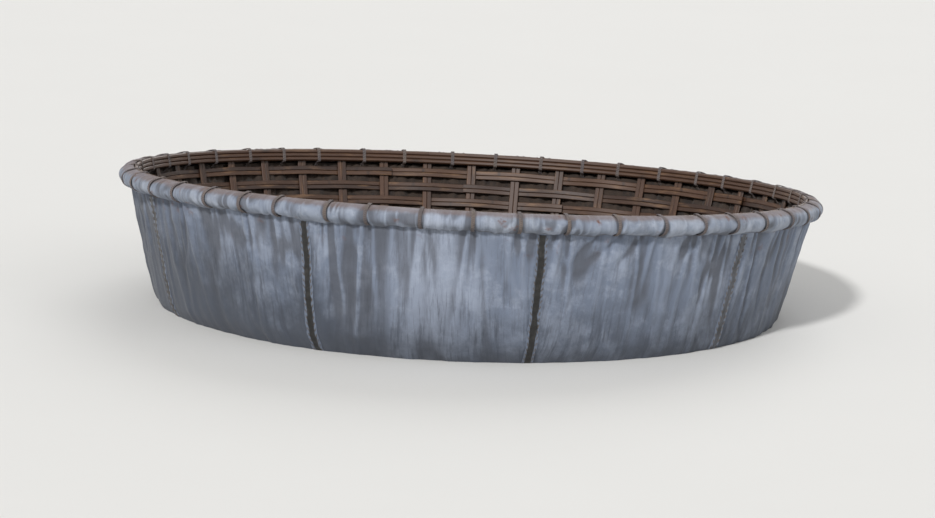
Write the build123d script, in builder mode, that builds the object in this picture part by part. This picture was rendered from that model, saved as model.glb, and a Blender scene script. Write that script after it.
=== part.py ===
"""Round river coracle: an interlaced split-bamboo basket with a flat bottom, in a
stitched sackcloth skin. Lengths are in millimetres and angles in degrees. The origin
is the middle of the underside, +Z is up, and the side first seen faces -Y."""

import os
from math import asin, cos, degrees, radians, sin, sqrt, tan

from build123d import *

# Hull outline, measured on the outside of the skin at a rib
bottom_radius = 958
bilge_radius = 260
flare = 13.7
wall_length = 450
bilge_flats = 3

# Division round the hull
gore_count = 9
ribs_per_gore = 5
first_seam = -78

# Clearance between neighbours that lie on each other
seat = 0.3

# Skin
skin_thickness = 3
seam_width = 44
seam_thickness = 2

# Floor weave, three ways across; its edge is that far in from where the bilge starts
floor_edge = 33
floor_spacing = 220
floor_slat_width = 54
floor_slat_thickness = 5
floor_turn = 12
floor_bend_room = 1

# Ribs
rib_width = 36
rib_thickness = 6
rib_foot_lap = 110

# Weavers: one row on each upper flat of the bilge, and rows up the wall. Each row is
# several lengths, which lap past a rib, and its laps stand some ribs on from the last
# row's. With an odd number of ribs to a length, its two ends pass a rib on either side.
weaver_height = 34
weaver_thickness = 6
weaver_tail = 30
weaver_lengths = 5
weaver_lap_step = 2
wall_row_first = 76
wall_row_pitch = 58

# Hoops
bilge_hoop_low = 8
bilge_hoop_height = 34
bilge_hoop_thickness = 9
bilge_hoop_lengths = 9
rim_hoop_height = 46
rim_hoop_thickness = 12
rim_roll_width = 46
hoop_joint = 1

# Lip of the skin, folded over the rim, and its lashings
lip_thickness = 4
lip_hem_drop = 15
lash_width = 12
lash_thickness = 3

# Values that follow from the ones above
rib_count = gore_count * ribs_per_gore
rib_pitch = 360 / rib_count
gore_pitch = 360 / gore_count
half_pitch = radians(rib_pitch / 2)
bilge_step = (90 - flare) / bilge_flats
wall_flat = bilge_flats
floor_radius = bottom_radius - floor_edge
rib_corner = rib_width / 2 * tan(half_pitch)

# Depths into the hull from the outside of the skin. A weaver bends at each rib, so
# its swing leaves room for the corners of the rib on the lowest and tightest row.
weave_radius = bottom_radius + bilge_radius * sin(radians(bilge_step))
weave_bay = 2 * weave_radius * sin(half_pitch)
inner_corner = rib_corner * (1 - sin(radians(1.5 * bilge_step)))
weave_stack = weaver_thickness + rib_thickness + 2 * seat + inner_corner
weave_swing = weave_stack / (1 - rib_width / weave_bay)
weave_lean = weave_swing / weave_bay * rib_width / 2
weave_out_depth = skin_thickness + seat
rib_depth = weave_out_depth + weaver_thickness + weave_lean + rib_corner + seat
hoop_depth = rib_depth + rib_thickness + seat
rim_hoop_inside = hoop_depth + rim_hoop_thickness

floor_low = skin_thickness + seat
floor_middle = floor_low + floor_slat_thickness + seat / 2
floor_top = floor_middle + floor_slat_thickness + seat / 2
rib_foot_height = floor_top + seat

roll_point = rim_roll_width / 2 / cos(radians(30))
roll_depth = rib_depth - rib_corner - seat - rim_roll_width / 2
roll_middle = wall_length - roll_point
gore_top = roll_middle - roll_point - seat


def meridian_plane(angle):
    """Upright plane through the axis: its x is the radius and its y the height."""
    turn = radians(angle)
    outward = (cos(turn), sin(turn), 0)
    across = (sin(turn), -cos(turn), 0)
    return Plane(origin=(0, 0, 0), x_dir=outward, z_dir=across)


def hull_corner(flat, depth):
    """Lower corner of a flat of the hull outline, that far in from the skin's outside."""
    turn = radians(flat * bilge_step - 90)
    reach = bilge_radius - depth
    return bottom_radius + reach * cos(turn), bilge_radius + reach * sin(turn)


def hull_point(flat, along, depth):
    """Point on a flat: so far up it from its lower corner, and so far in from outside."""
    corner_r, corner_z = hull_corner(flat, 0)
    half_step = 0 if flat == wall_flat else bilge_step / 2
    turn = radians(flat * bilge_step - 90 + half_step)
    inward = depth * cos(radians(half_step))
    return (
        corner_r - along * sin(turn) - inward * cos(turn),
        corner_z + along * cos(turn) - inward * sin(turn),
    )


def hull_run(first_corner, top, depth):
    """Outline from a corner of the bilge up to a height on the wall, at one depth."""
    corners = [hull_corner(flat, depth) for flat in range(first_corner, wall_flat + 1)]
    return corners + [hull_point(wall_flat, top, depth)]


def flat_bar(flat, low, high, outer_depth, inner_depth):
    """Section of a bar that lies on one flat of the hull."""
    return [
        hull_point(flat, low, outer_depth),
        hull_point(flat, high, outer_depth),
        hull_point(flat, high, inner_depth),
        hull_point(flat, low, inner_depth),
    ]


def chord(angle_from_rib):
    """Share of the rib line's radius that a straight run between two ribs keeps."""
    part = radians(angle_from_rib % rib_pitch)
    return cos(half_pitch) / cos(half_pitch - part)


def loft_round(stations):
    """Straight-sided loft round the hull through (angle, outline) stations."""
    with BuildPart() as piece:
        for angle, outline in stations:
            with BuildSketch(meridian_plane(angle)):
                with BuildLine():
                    Polyline(*outline, close=True)
                make_face()
        loft(ruled=True)
    return piece


def flat_bays(outline, bays, trim):
    """Flat-sided piece of the hull's round from angle 0, short by an angle at each end."""
    reach = max(r for r, z in outline) * tan(half_pitch)
    with BuildPart() as bay:
        with BuildSketch(meridian_plane(rib_pitch / 2)):
            with BuildLine():
                Polyline(*[(r * cos(half_pitch), z) for r, z in outline], close=True)
            make_face()
        extrude(amount=reach + seat, both=True)
        split(bisect_by=meridian_plane(0), keep=Keep.BOTTOM)
        split(bisect_by=meridian_plane(rib_pitch), keep=Keep.TOP)
    with BuildPart() as piece:
        with PolarLocations(0, bays, 0, bays * rib_pitch):
            add(bay.part)
        split(bisect_by=meridian_plane(trim), keep=Keep.BOTTOM)
        split(bisect_by=meridian_plane(bays * rib_pitch - trim), keep=Keep.TOP)
    return piece


def cut_upright(outline, width):
    """Flat bar of one upright outline, centred on angle 0."""
    with BuildPart() as piece:
        with BuildSketch(meridian_plane(0)):
            with BuildLine():
                Polyline(*outline, close=True)
            make_face()
        extrude(amount=width / 2, both=True)
    return piece


def turned(piece, start, count, pitch):
    """Copies of a piece made at angle 0, turned to start and to each pitch after it."""
    with BuildPart() as copies:
        with PolarLocations(0, count, start, count * pitch):
            add(piece.part)
    return copies


def arc_stations(outline, bays, trim):
    """Stations at each rib from angle 0, the first and last trimmed by an angle."""
    angles = [trim] + [bay * rib_pitch for bay in range(1, bays)] + [bays * rib_pitch - trim]
    return [(angle, [(r * chord(angle), z) for r, z in outline]) for angle in angles]


def finish(name, piece):
    """Labels a piece and writes it to its own file."""
    piece.part.label = name
    export_step(piece.part, f"parts/{name}.step")


def seam_angle(gore):
    """Angle of the seam where a gore starts."""
    return first_seam + gore * gore_pitch


os.makedirs("parts", exist_ok=True)
seam_trim = degrees(seat / 2 / floor_radius)
hoop_trim = degrees(hoop_joint / 2 / bottom_radius)

# Skin: a round bottom and nine gores that butt on it under the floor's edge
with BuildPart() as skin_bottom:
    with BuildSketch():
        RegularPolygon(floor_radius - seat, rib_count, rotation=first_seam)
    extrude(amount=skin_thickness)
finish("skin_bottom", skin_bottom)

gore_outline = [(floor_radius, 0)] + hull_run(0, gore_top, 0)
gore_outline += reversed([(floor_radius, skin_thickness)] + hull_run(0, gore_top, skin_thickness))
skin_gore = flat_bays(gore_outline, ribs_per_gore, seam_trim)
for gore in range(gore_count):
    finish(f"skin_gore_{gore + 1}", turned(skin_gore, seam_angle(gore), 1, gore_pitch))

# Tarred strips over the seams, from the bilge up to the lip's hem
seam_top = gore_top - lip_hem_drop - lip_thickness - 2 * seat
seam_outline = hull_run(1, seam_top, -seat)
seam_outline += reversed(hull_run(1, seam_top, -seat - seam_thickness))
seam_half = degrees(asin(seam_width / 2 / (bottom_radius + bilge_radius)))
seam_stations = [
    (angle, [(r * chord(angle), z) for r, z in seam_outline])
    for angle in (-seam_half, 0, seam_half)
]
skin_seam = loft_round(seam_stations)
finish("skin_seams", turned(skin_seam, first_seam, gore_count, gore_pitch))

# Floor: three families of slats, each over the next family and under the third
floor_rows = [
    (row + 0.5) * floor_spacing * side
    for row in range(int((floor_radius - floor_slat_width) / floor_spacing + 0.5))
    for side in (-1, 1)
]
floor_flat = floor_slat_width * cos(radians(30)) + floor_bend_room
floor_rise = (floor_slat_thickness + seat) / 2


def slat_levels(offset, half_length):
    """Places along a slat, and its height there, where it meets the other families."""
    crossings = []
    for turn, level in ((60, floor_rise), (120, -floor_rise)):
        for other in floor_rows:
            place = (offset * cos(radians(turn)) - other) / sin(radians(turn))
            if abs(place) - floor_flat < half_length:
                crossings.append((place, level))
    crossings.sort()
    levels = [(-half_length, crossings[0][1])]
    for place, level in crossings:
        levels += [(place - floor_flat, level), (place + floor_flat, level)]
    levels += [(half_length, crossings[-1][1])]
    return levels


def trim_levels(levels, half_length):
    """Keeps the places within the slat, with its ends at their own heights."""
    kept = [(place, level) for place, level in levels[1:-1] if abs(place) < half_length - seat]
    return [(-half_length, kept[0][1])] + kept + [(half_length, kept[-1][1])]


with BuildPart() as slat_family:
    for offset in floor_rows:
        half_length = sqrt(floor_radius**2 - (abs(offset) + floor_slat_width / 2) ** 2)
        for place, level in trim_levels(slat_levels(offset, half_length), half_length):
            middle = (place, offset, floor_middle + level)
            with BuildSketch(Plane(origin=middle, x_dir=(0, 1, 0), z_dir=(1, 0, 0))):
                Rectangle(floor_slat_width, floor_slat_thickness)
        loft(ruled=True)
for family in range(3):
    finish(f"floor_slats_{family + 1}", turned(slat_family, floor_turn + family * 120, 1, 120))

# Ribs: each foot lies on the floor's edge, and each rib rises round the bilge
rib_foot = floor_radius - rib_foot_lap
rib_outline = [(rib_foot, rib_foot_height), (bottom_radius, rib_foot_height)]
rib_outline += hull_run(1, wall_length, rib_depth)
rib_back = [(rib_foot, rib_foot_height + rib_thickness)]
rib_back += [(bottom_radius, rib_foot_height + rib_thickness)]
rib_back += hull_run(1, wall_length, rib_depth + rib_thickness)
rib_outline += reversed(rib_back)
rib = cut_upright(rib_outline, rib_width)
for gore in range(gore_count):
    finish(f"ribs_{gore + 1}", turned(rib, seam_angle(gore), ribs_per_gore, rib_pitch))

# Weavers: each length goes out and in past the ribs
bilge_flat_length = 2 * bilge_radius * sin(radians(bilge_step / 2))
weaver_rows = [(flat, bilge_flat_length / 2) for flat in range(1, bilge_flats)]
wall_row_last = wall_length - rim_hoop_height - weaver_height / 2
wall_row_count = 1 + int((wall_row_last - wall_row_first) / wall_row_pitch)
weaver_rows += [(wall_flat, wall_row_first + row * wall_row_pitch) for row in range(wall_row_count)]
length_bays = rib_count // weaver_lengths
for row, (flat, middle) in enumerate(weaver_rows):
    low = middle - weaver_height / 2
    high = middle + weaver_height / 2
    tail = degrees(weaver_tail / hull_point(flat, middle, 0)[0])
    start = first_seam + row * weaver_lap_step * rib_pitch
    stations = []
    bends = [bay * rib_pitch for bay in range(length_bays + 1)]
    for angle in [-tail] + bends + [bends[-1] + tail]:
        swing = 1 - abs((angle / rib_pitch + row) % 2 - 1)
        depth = weave_out_depth + swing * weave_swing
        outline = flat_bar(flat, low, high, depth, depth + weaver_thickness)
        stations.append((angle, [(r * chord(angle), z) for r, z in outline]))
    weaver = loft_round(stations)
    finish(f"weaver_{row + 1}", turned(weaver, start, weaver_lengths, length_bays * rib_pitch))

# Hoops inside the ribs at the bilge and at the rim: low edge, high edge, thickness and
# number of lengths
bilge_hoop_high = bilge_hoop_low + bilge_hoop_height
rim_hoop_low = wall_length - rim_hoop_height
hoops = [
    ("bilge_hoop", bilge_hoop_low, bilge_hoop_high, bilge_hoop_thickness, bilge_hoop_lengths),
    ("rim_hoop_inner", rim_hoop_low, wall_length, rim_hoop_thickness, 1),
]
for name, low, high, thickness, lengths in hoops:
    outline = flat_bar(wall_flat, low, high, hoop_depth, hoop_depth + thickness)
    bays = rib_count // lengths
    hoop = loft_round(arc_stations(outline, bays, hoop_trim))
    finish(name, turned(hoop, first_seam, lengths, bays * rib_pitch))

# Rim roll: a bundle of canes outside the rib tops, six-sided
roll_outline = [
    hull_point(
        wall_flat,
        roll_middle + roll_point * sin(radians(side * 60 + 30)),
        roll_depth + roll_point * cos(radians(side * 60 + 30)),
    )
    for side in range(6)
]
rim_roll = loft_round(arc_stations(roll_outline, rib_count, hoop_trim))
finish("rim_roll", turned(rim_roll, seam_angle(gore_count // 2), 1, gore_pitch))

# Lip: from the rib tops, over the roll, to a hem on the wall. The inner hoop is bare.
roll_outside = roll_depth - rim_roll_width / 2
lip_path = [
    (hoop_depth, wall_length),
    (roll_depth, wall_length),
    (roll_outside, roll_middle + roll_point / 2),
    (roll_outside, roll_middle - roll_point / 2),
    (0, gore_top - lip_hem_drop),
]


def grown(path, room):
    """The path round the rim, moved outwards by some room, with mitred corners."""
    moved = []
    for place, point in enumerate(path):
        before = path[max(place - 1, 0)]
        after = path[min(place + 1, len(path) - 1)]
        sides = []
        for start, end in ((before, point), (point, after)):
            run = (end[0] - start[0], end[1] - start[1])
            length = sqrt(run[0] ** 2 + run[1] ** 2)
            if length > 0:
                sides.append((run[1] / length, -run[0] / length))
        mean = (sum(side[0] for side in sides), sum(side[1] for side in sides))
        scale = 2 * room / (mean[0] ** 2 + mean[1] ** 2) if len(sides) == 2 else room
        moved.append((point[0] + mean[0] * scale, point[1] + mean[1] * scale))
    return moved


def rim_band(path, inner_room, outer_room):
    """Section of a band that follows the path between two distances from it."""
    band = grown(path, inner_room) + list(reversed(grown(path, outer_room)))
    return [hull_point(wall_flat, along, depth) for depth, along in band]


lip_outline = rim_band(lip_path, seat, seat + lip_thickness)
lip_gore = loft_round(arc_stations(lip_outline, ribs_per_gore, seam_trim))
finish("rim_lip", turned(lip_gore, first_seam, gore_count, gore_pitch))

# Lashings: one in the middle of each bay, round the inner hoop, the lip and the roll
lash_path = [(rim_hoop_inside, rim_hoop_low), (rim_hoop_inside, wall_length)]
lash_path += grown(lip_path, lip_thickness + seat)[:-1]
lash_outline = rim_band(lash_path, seat, seat + lash_thickness)
lash_outline = [(r * cos(half_pitch), z) for r, z in lash_outline]
lashing = cut_upright(lash_outline, lash_width)
finish("rim_lashings", turned(lashing, first_seam + rib_pitch / 2, rib_count, rib_pitch))
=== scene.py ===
"""Round river coracle: a basket of interlaced split bamboo in a stitched sackcloth skin,
with a lashed rim. Metres, +Z up; the side first seen faces -Y."""

from functools import partial
from math import cos, pi, radians, sin

import bmesh
import bpy
import numpy as np
from bpy.props import FloatProperty, IntProperty, PointerProperty, StringProperty
from mathutils import Matrix, Vector


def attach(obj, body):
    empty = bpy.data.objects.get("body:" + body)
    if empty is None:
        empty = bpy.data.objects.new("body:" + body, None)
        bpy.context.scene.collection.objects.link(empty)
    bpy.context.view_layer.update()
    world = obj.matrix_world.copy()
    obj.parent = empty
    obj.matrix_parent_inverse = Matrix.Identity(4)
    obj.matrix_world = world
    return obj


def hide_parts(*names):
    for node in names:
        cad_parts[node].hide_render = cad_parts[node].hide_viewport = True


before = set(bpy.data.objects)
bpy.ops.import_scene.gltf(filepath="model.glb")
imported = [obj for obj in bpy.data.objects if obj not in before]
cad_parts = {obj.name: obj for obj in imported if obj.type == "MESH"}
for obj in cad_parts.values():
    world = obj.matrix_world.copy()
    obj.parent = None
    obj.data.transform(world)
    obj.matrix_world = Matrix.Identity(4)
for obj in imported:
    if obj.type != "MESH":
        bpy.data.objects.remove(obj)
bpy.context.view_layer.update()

bl_info = {
    "name": "River coracle",
    "version": (1, 0, 0),
    "blender": (4, 5, 0),
    "location": "View3D > Sidebar > Coracle",
    "description": "Dresses a woven river coracle: skin, lip, lashings and basketwork",
    "category": "Add Mesh",
}

MM = 0.001

# Colours of bamboo as (bark, grain, worn edges) and of cord as (fibre, dirt and painted shade between its
# strands), in sRGB
HOOP_BAMBOO = ("533A2B", "31221B", "7F6044")
FLOOR_BAMBOO = ("70503A", "45311F", "A58562")
WOVEN_BARK, KNOT = "573C2A", "2A1D17"
TWINE = ("8A7C6C", "3A3028")
CORD_DIRT_AND_SHADE, RUBBED_CORD = "453C3A", "8C8078"


class CoracleHull(bpy.types.PropertyGroup):
    """Sizes of the hull, measured on the outside of its skin."""

    bottom_radius: FloatProperty(
        name="Bottom radius", description="Radius where the bilge starts", default=0.958, unit="LENGTH"
    )
    bilge_radius: FloatProperty(
        name="Bilge radius", description="Radius of the turn up to the wall", default=0.26, unit="LENGTH"
    )
    flare: FloatProperty(
        name="Flare", description="Lean of the wall", default=radians(13.7), subtype="ANGLE"
    )
    wall_length: FloatProperty(
        name="Wall", description="Height of the wall along its slope", default=0.45, unit="LENGTH"
    )
    gore_count: IntProperty(name="Gores", description="Lengths of cloth round the skin", default=9)
    ribs_per_gore: IntProperty(name="Ribs to a gore", description="Ribs behind each gore", default=5)
    first_seam: FloatProperty(
        name="First seam", description="Angle of the first seam", default=radians(-78), subtype="ANGLE"
    )
    floor_edge: FloatProperty(
        name="Floor edge", description="How far inside the bilge the bottom panel ends",
        default=0.033, unit="LENGTH",
    )
    hem_drop: FloatProperty(
        name="Hem drop", description="Top of the gores below the rim, along the wall",
        default=0.0534, unit="LENGTH",
    )

    @property
    def bend(self):
        return pi / 2 - self.flare

    @property
    def bilge_arc(self):
        return self.bilge_radius * self.bend

    @property
    def top(self):
        return self.bilge_arc + self.wall_length

    @property
    def gore_top(self):
        return self.top - self.hem_drop

    @property
    def rib_count(self):
        return self.gore_count * self.ribs_per_gore

    @property
    def rib_pitch(self):
        return 2 * pi / self.rib_count

    @property
    def gore_pitch(self):
        return 2 * pi / self.gore_count

    def seam(self, gore):
        """Angle of a gore's first seam."""
        return self.first_seam + gore * self.gore_pitch


class CoracleSkin(bpy.types.PropertyGroup):
    """Cloth of the skin, and how it has set round the basket."""

    cloth: StringProperty(name="Cloth", description="Colour of the cloth, sRGB", default="747E90")
    faded: StringProperty(name="Faded", description="Colour of its paler patches", default="9BA4B5")
    stain_and_shade: StringProperty(name="Stain", description="Colour of dirt in the hollows", default="4F5158")
    rust: StringProperty(name="Red stain", description="Colour of the stains at the rim", default="6B4A3E")
    inside: StringProperty(name="Inside", description="Colour of its oiled inner side", default="3F332B")
    soot: StringProperty(name="Soot", description="Colour of soot on the inner side", default="2C2522")
    sunlit_color: StringProperty(name="Bleached", description="Colour bleached by the sun", default="A6AEBE")
    damp_and_shade: StringProperty(name="Damp", description="Colour of the damp low cloth", default="3F444E")
    handled: StringProperty(name="Handled", description="Colour where hands hold it", default="6E564B")
    lip: StringProperty(name="Lip", description="Colour of the doubled cloth", default="858E9E")
    faded_lip: StringProperty(name="Faded lip", description="Colour of its paler patches", default="ADB4C1")
    tar: StringProperty(name="Tar", description="Colour of the tar", default="1E1D1C")
    dusty_tar: StringProperty(name="Dusty tar", description="Colour of weathered tar", default="4B4844")
    thickness: FloatProperty(
        name="Thickness", description="Thickness of the cloth", default=0.002, unit="LENGTH"
    )
    gather_height: FloatProperty(
        name="Gathers", description="Height of the largest gathers", default=0.013, unit="LENGTH"
    )
    seam_width: FloatProperty(
        name="Seam width", description="Width of the tarred strips", default=0.044, unit="LENGTH"
    )
    tar_line: FloatProperty(
        name="Tar line", description="How far up the bilge the tar reaches", default=0.15, unit="LENGTH"
    )
    seed: IntProperty(name="Seed", description="Seed of the folds and stains", default=41)


class CoracleBasket(bpy.types.PropertyGroup):
    """Split bamboo of the basket."""

    bamboo: StringProperty(name="Bamboo", description="Colour of the old bamboo", default="593F30")
    dark: StringProperty(name="Dark bamboo", description="Colour of its darkest splits", default="35251E")
    pale: StringProperty(name="Pale bamboo", description="Colour of its worn edges", default="937152")
    cord: StringProperty(name="Cord", description="Colour of the lashings", default="7B7475")
    split_gap: FloatProperty(
        name="Gap", description="Gap between two splits that lie side by side", default=0.001, unit="LENGTH"
    )
    weaver_lengths: IntProperty(name="Weaver lengths", description="Lengths to a weaver row", default=5)
    lap_step: IntProperty(name="Lap step", description="Ribs from one row's laps to the next", default=2)
    seed: IntProperty(name="Seed", description="Seed of the knots and tones", default=7)


class CoracleStage(bpy.types.PropertyGroup):
    """Floor at the waterline, lights and camera."""

    float_height: FloatProperty(
        name="Draught", description="Height of the waterline at the middle", default=0.165, unit="LENGTH"
    )
    trim_away: FloatProperty(
        name="Trim", description="Slope of the waterline away from the camera", default=0.0846
    )
    trim_right: FloatProperty(name="List", description="Slope of the waterline to the right", default=0.0173)
    floor_color: StringProperty(name="Floor", description="Colour of the floor", default="DEDDDA")
    floor_mottle: StringProperty(name="Mottle", description="Colour of its mottle", default="B9B8B5")
    camera_height: FloatProperty(
        name="Camera height", description="Angle of the view above the floor",
        default=radians(10.4), subtype="ANGLE",
    )
    camera_roll: FloatProperty(
        name="Camera roll", description="Roll of the camera", default=radians(1.95), subtype="ANGLE"
    )
    camera_distance: FloatProperty(
        name="Distance", description="From the camera to the hull", default=25.0, unit="LENGTH"
    )
    lens: FloatProperty(name="Lens", description="Focal length in millimetres", default=250.0)


def linear(color):
    """Linear colour of an sRGB hex value."""
    parts = [int(color[place:place + 2], 16) / 255 for place in (0, 2, 4)]
    return [p / 12.92 if p <= 0.04045 else ((p + 0.055) / 1.055) ** 2.4 for p in parts] + [1.0]


def set_inputs(node, inputs):
    """Sets a node's inputs, by name or in their order, to sockets, values or hex colours."""
    for name, value in inputs.items() if isinstance(inputs, dict) else enumerate(inputs):
        if isinstance(value, bpy.types.NodeSocket):
            node.id_data.links.new(value, node.inputs[name])
        else:
            node.inputs[name].default_value = linear(value) if isinstance(value, str) else value


def add_node(tree, kind, inputs=(), output=0, **settings):
    """Adds a node with its settings and inputs, and gives one of its outputs."""
    node = tree.nodes.new("ShaderNode" + kind)
    for name, value in settings.items():
        setattr(node, name, value)
    set_inputs(node, inputs)
    return node.outputs[output]


def new_material(name):
    """Material with its Principled shader, and add_node for its tree."""
    material = bpy.data.materials.new(name)
    material.use_nodes = True
    tree = material.node_tree
    return material, tree.nodes["Principled BSDF"], partial(add_node, tree)


def blotches(add, place, size, detail, rough, span=None, most=1.0, shift=0.0):
    """Uneven blotches of a size in millimetres, one or (across, along), shifted by cells.
    With a span they go smoothly from 0 to the most as the noise passes through it."""
    across, along = np.broadcast_to(size, 2) * MM
    scale = (1 / across, 1 / along, 1 / across)
    moved = add("Mapping", {"Vector": place, "Location": [shift] * 3, "Scale": scale})
    level = add("TexNoise", {"Vector": moved, "Scale": 1.0, "Detail": detail, "Roughness": rough})
    if span is None:
        return level
    return add("MapRange", (level, *span, 0.0, most), interpolation_type="SMOOTHSTEP")


def weave_height(add, flat, thread):
    """Plain weave: two families of threads, each over and under the other. A wave comes
    round again after 0.314 over its scale."""
    turns = add("TexChecker", {"Vector": flat, "Scale": 1 / thread}, "Fac")
    waves = {"Vector": flat, "Scale": 0.314 / thread, "Distortion": 0.6, "Detail": 1.0}
    across, along = [
        add("TexWave", waves, "Fac", wave_type="BANDS", bands_direction=axis) for axis in ("X", "Y")
    ]
    over = add("Math", (across, turns), operation="MULTIPLY")
    elsewhere = add("Math", (1.0, turns), operation="SUBTRACT")
    return add("Math", (along, elsewhere, over), operation="MULTIPLY_ADD")


def sackcloth(skin, name, base, faded):
    """Weathered woven sackcloth: matt and slightly furry, with faded patches, streaks that rain has washed
    down it, dirt and painted shade in its hollows, paler crests that are worn and carry a painted highlight,
    a painted highlight down the front, and wet cloth with painted shade darkening it low on its sides."""
    material, shader, add = new_material(name)
    flat, place = add("UVMap", uv_map="Cloth"), add("TexCoord", output="Object")
    hollow, grime_and_shade, soiled, sunlit, rim, tarred, inside = [
        add("Attribute", output="Fac", attribute_name=mark)
        for mark in ("hollow", "grime_and_shade", "soiled", "sunlit", "rim", "tarred", "inside")
    ]
    patches = blotches(add, place, 200, 9, 0.72, (0.47, 0.6), 0.7)
    mottle = blotches(add, place, 41.667, 8, 0.7, (0.42, 0.66), shift=74.4)
    smear = blotches(add, place, 111.11, 7, 0.72, shift=69.3)
    # Painted highlight: a paler, mottled band down the front of the cloth
    sun = add("Math", (sunlit, add("Math", (smear, 0.35), operation="ADD")), operation="MULTIPLY")
    washed = blotches(add, flat, (45.4545, 384.615), 7, 0.68, (0.5, 0.66), 0.4)
    fine = blotches(add, flat, (10.5263, 142.857), 5, 0.66, (0.5, 0.7), 0.3, 5.3)
    streaks = add("Math", (washed, fine), operation="ADD")
    soiled = add("Math", (soiled, 0.55, 0.6), operation="MULTIPLY_ADD")
    run_down = add("Math", (streaks, soiled), operation="MULTIPLY")
    # Dirt and painted shade in the hollows of the folds, and paler crests: wear with a painted highlight
    held = add("MapRange", (hollow, 0.35, 1.0, 0.0, 0.75), interpolation_type="SMOOTHSTEP")
    worn = add("MapRange", (hollow, 0.3, 0.0, 0.0, 0.2), interpolation_type="SMOOTHSTEP")
    # Darkening from the marks, roughened by the streaks: wet, dirty cloth and painted shade low down, and
    # darker on the left and beside the seams
    ragged = add("Math", (smear, 0.3), operation="ADD")
    ragged = add("Math", (streaks, 0.5, ragged), operation="MULTIPLY_ADD")
    damp_and_shade = add("Math", (grime_and_shade, ragged), operation="MULTIPLY")
    damp_and_shade = add("MapRange", (damp_and_shade, 0.16, 0.88, 0.0, 0.88), interpolation_type="SMOOTHSTEP")
    spots = blotches(add, place, 58.824, 4, 0.6, (0.6, 0.74), 0.75, 192.1)
    red = add("Math", (spots, rim), operation="MULTIPLY")
    handled = add("Math", (rim, smear), operation="ADD")
    handled = add("MapRange", (handled, 1.75, 2.3, 0.0, 0.6), interpolation_type="SMOOTHSTEP")
    brushed = add("Math", (blotches(add, place, 45.455, 5, 0.7), 0.3, tarred), operation="MULTIPLY_ADD")
    tar = add("MapRange", (brushed, 0.62, 0.7), interpolation_type="SMOOTHSTEP")
    sooty = add("Mix", {0: mottle, 6: skin.inside, 7: skin.soot}, 2, data_type="RGBA")
    color = base
    for share, over in [
        (patches, faded),
        (add("Math", (mottle, 0.4), operation="MULTIPLY"), base),
        (sun, skin.sunlit_color),
        (run_down, skin.stain_and_shade),
        (held, skin.stain_and_shade),
        (worn, faded),
        (damp_and_shade, skin.damp_and_shade),
        (red, skin.rust),
        (handled, skin.handled),
        (tar, skin.tar),
        (inside, sooty),
    ]:
        color = add("Mix", {0: share, 6: color, 7: over}, 2, data_type="RGBA")
    # Threads are 3 mm apart on the real cloth, and drawn at 5 mm so that they show
    weave = weave_height(add, flat, 5 * MM)
    crumple = blotches(add, flat, (16.6667, 45.4545), 4, 0.6, shift=2.2)
    woven = add("Bump", {"Height": weave, "Distance": 0.7 * MM, "Strength": 0.7})
    set_inputs(shader, {
        "Base Color": color,
        "Roughness": add("Math", (tar, -0.42, 0.88), operation="MULTIPLY_ADD"),
        "IOR": 1.45,
        "Sheen Weight": 0.12,
        "Normal": add("Bump", {"Height": crumple, "Distance": 3 * MM, "Strength": 0.35, "Normal": woven}),
    })
    return material


def brushed_tar(skin, name, gloss):
    """Tar brushed on cloth: near black, with a dull shine, brush lines and places where
    it has weathered off the cloth."""
    material, shader, add = new_material(name)
    flat = add("UVMap", uv_map="Cloth")
    bare, edge = [add("Attribute", output="Fac", attribute_name=mark) for mark in ("worn", "edge")]
    dusty = blotches(add, flat, (16.6667, 41.6667), 7, 0.7, (0.5, 0.72))
    patchy = blotches(add, flat, (22.2222, 62.5), 8, 0.75, shift=8.8)
    patchy = add("Math", (patchy, bare), operation="ADD")
    ragged = blotches(add, flat, (20, 71.4286), 8, 0.75, shift=6.1)
    ragged = add("Math", (edge, ragged), operation="ADD")
    color = skin.tar
    for share, over in [
        (add("Math", (dusty, 0.5), operation="MULTIPLY"), skin.dusty_tar),
        (add("MapRange", (patchy, 0.85, 1.15), interpolation_type="SMOOTHSTEP"), skin.stain_and_shade),
        (add("MapRange", (ragged, 0.96, 1.14, 0.0, 0.8), interpolation_type="SMOOTHSTEP"), skin.cloth),
    ]:
        color = add("Mix", {0: share, 6: color, 7: over}, 2, data_type="RGBA")
    brush = blotches(add, flat, (3.33333, 71.4286), 3, 0.6)
    lines = add("Bump", {"Height": brush, "Distance": 1 * MM, "Strength": 0.5})
    lumps = blotches(add, flat, (14.2857, 20), 3, 0.6, shift=4.4)
    set_inputs(shader, {
        "Base Color": color,
        "Roughness": add("Math", (dusty, 0.35, gloss), operation="MULTIPLY_ADD"),
        "Normal": add("Bump", {"Height": lumps, "Distance": 2.5 * MM, "Strength": 0.5, "Normal": lines}),
    })
    return material


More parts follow.
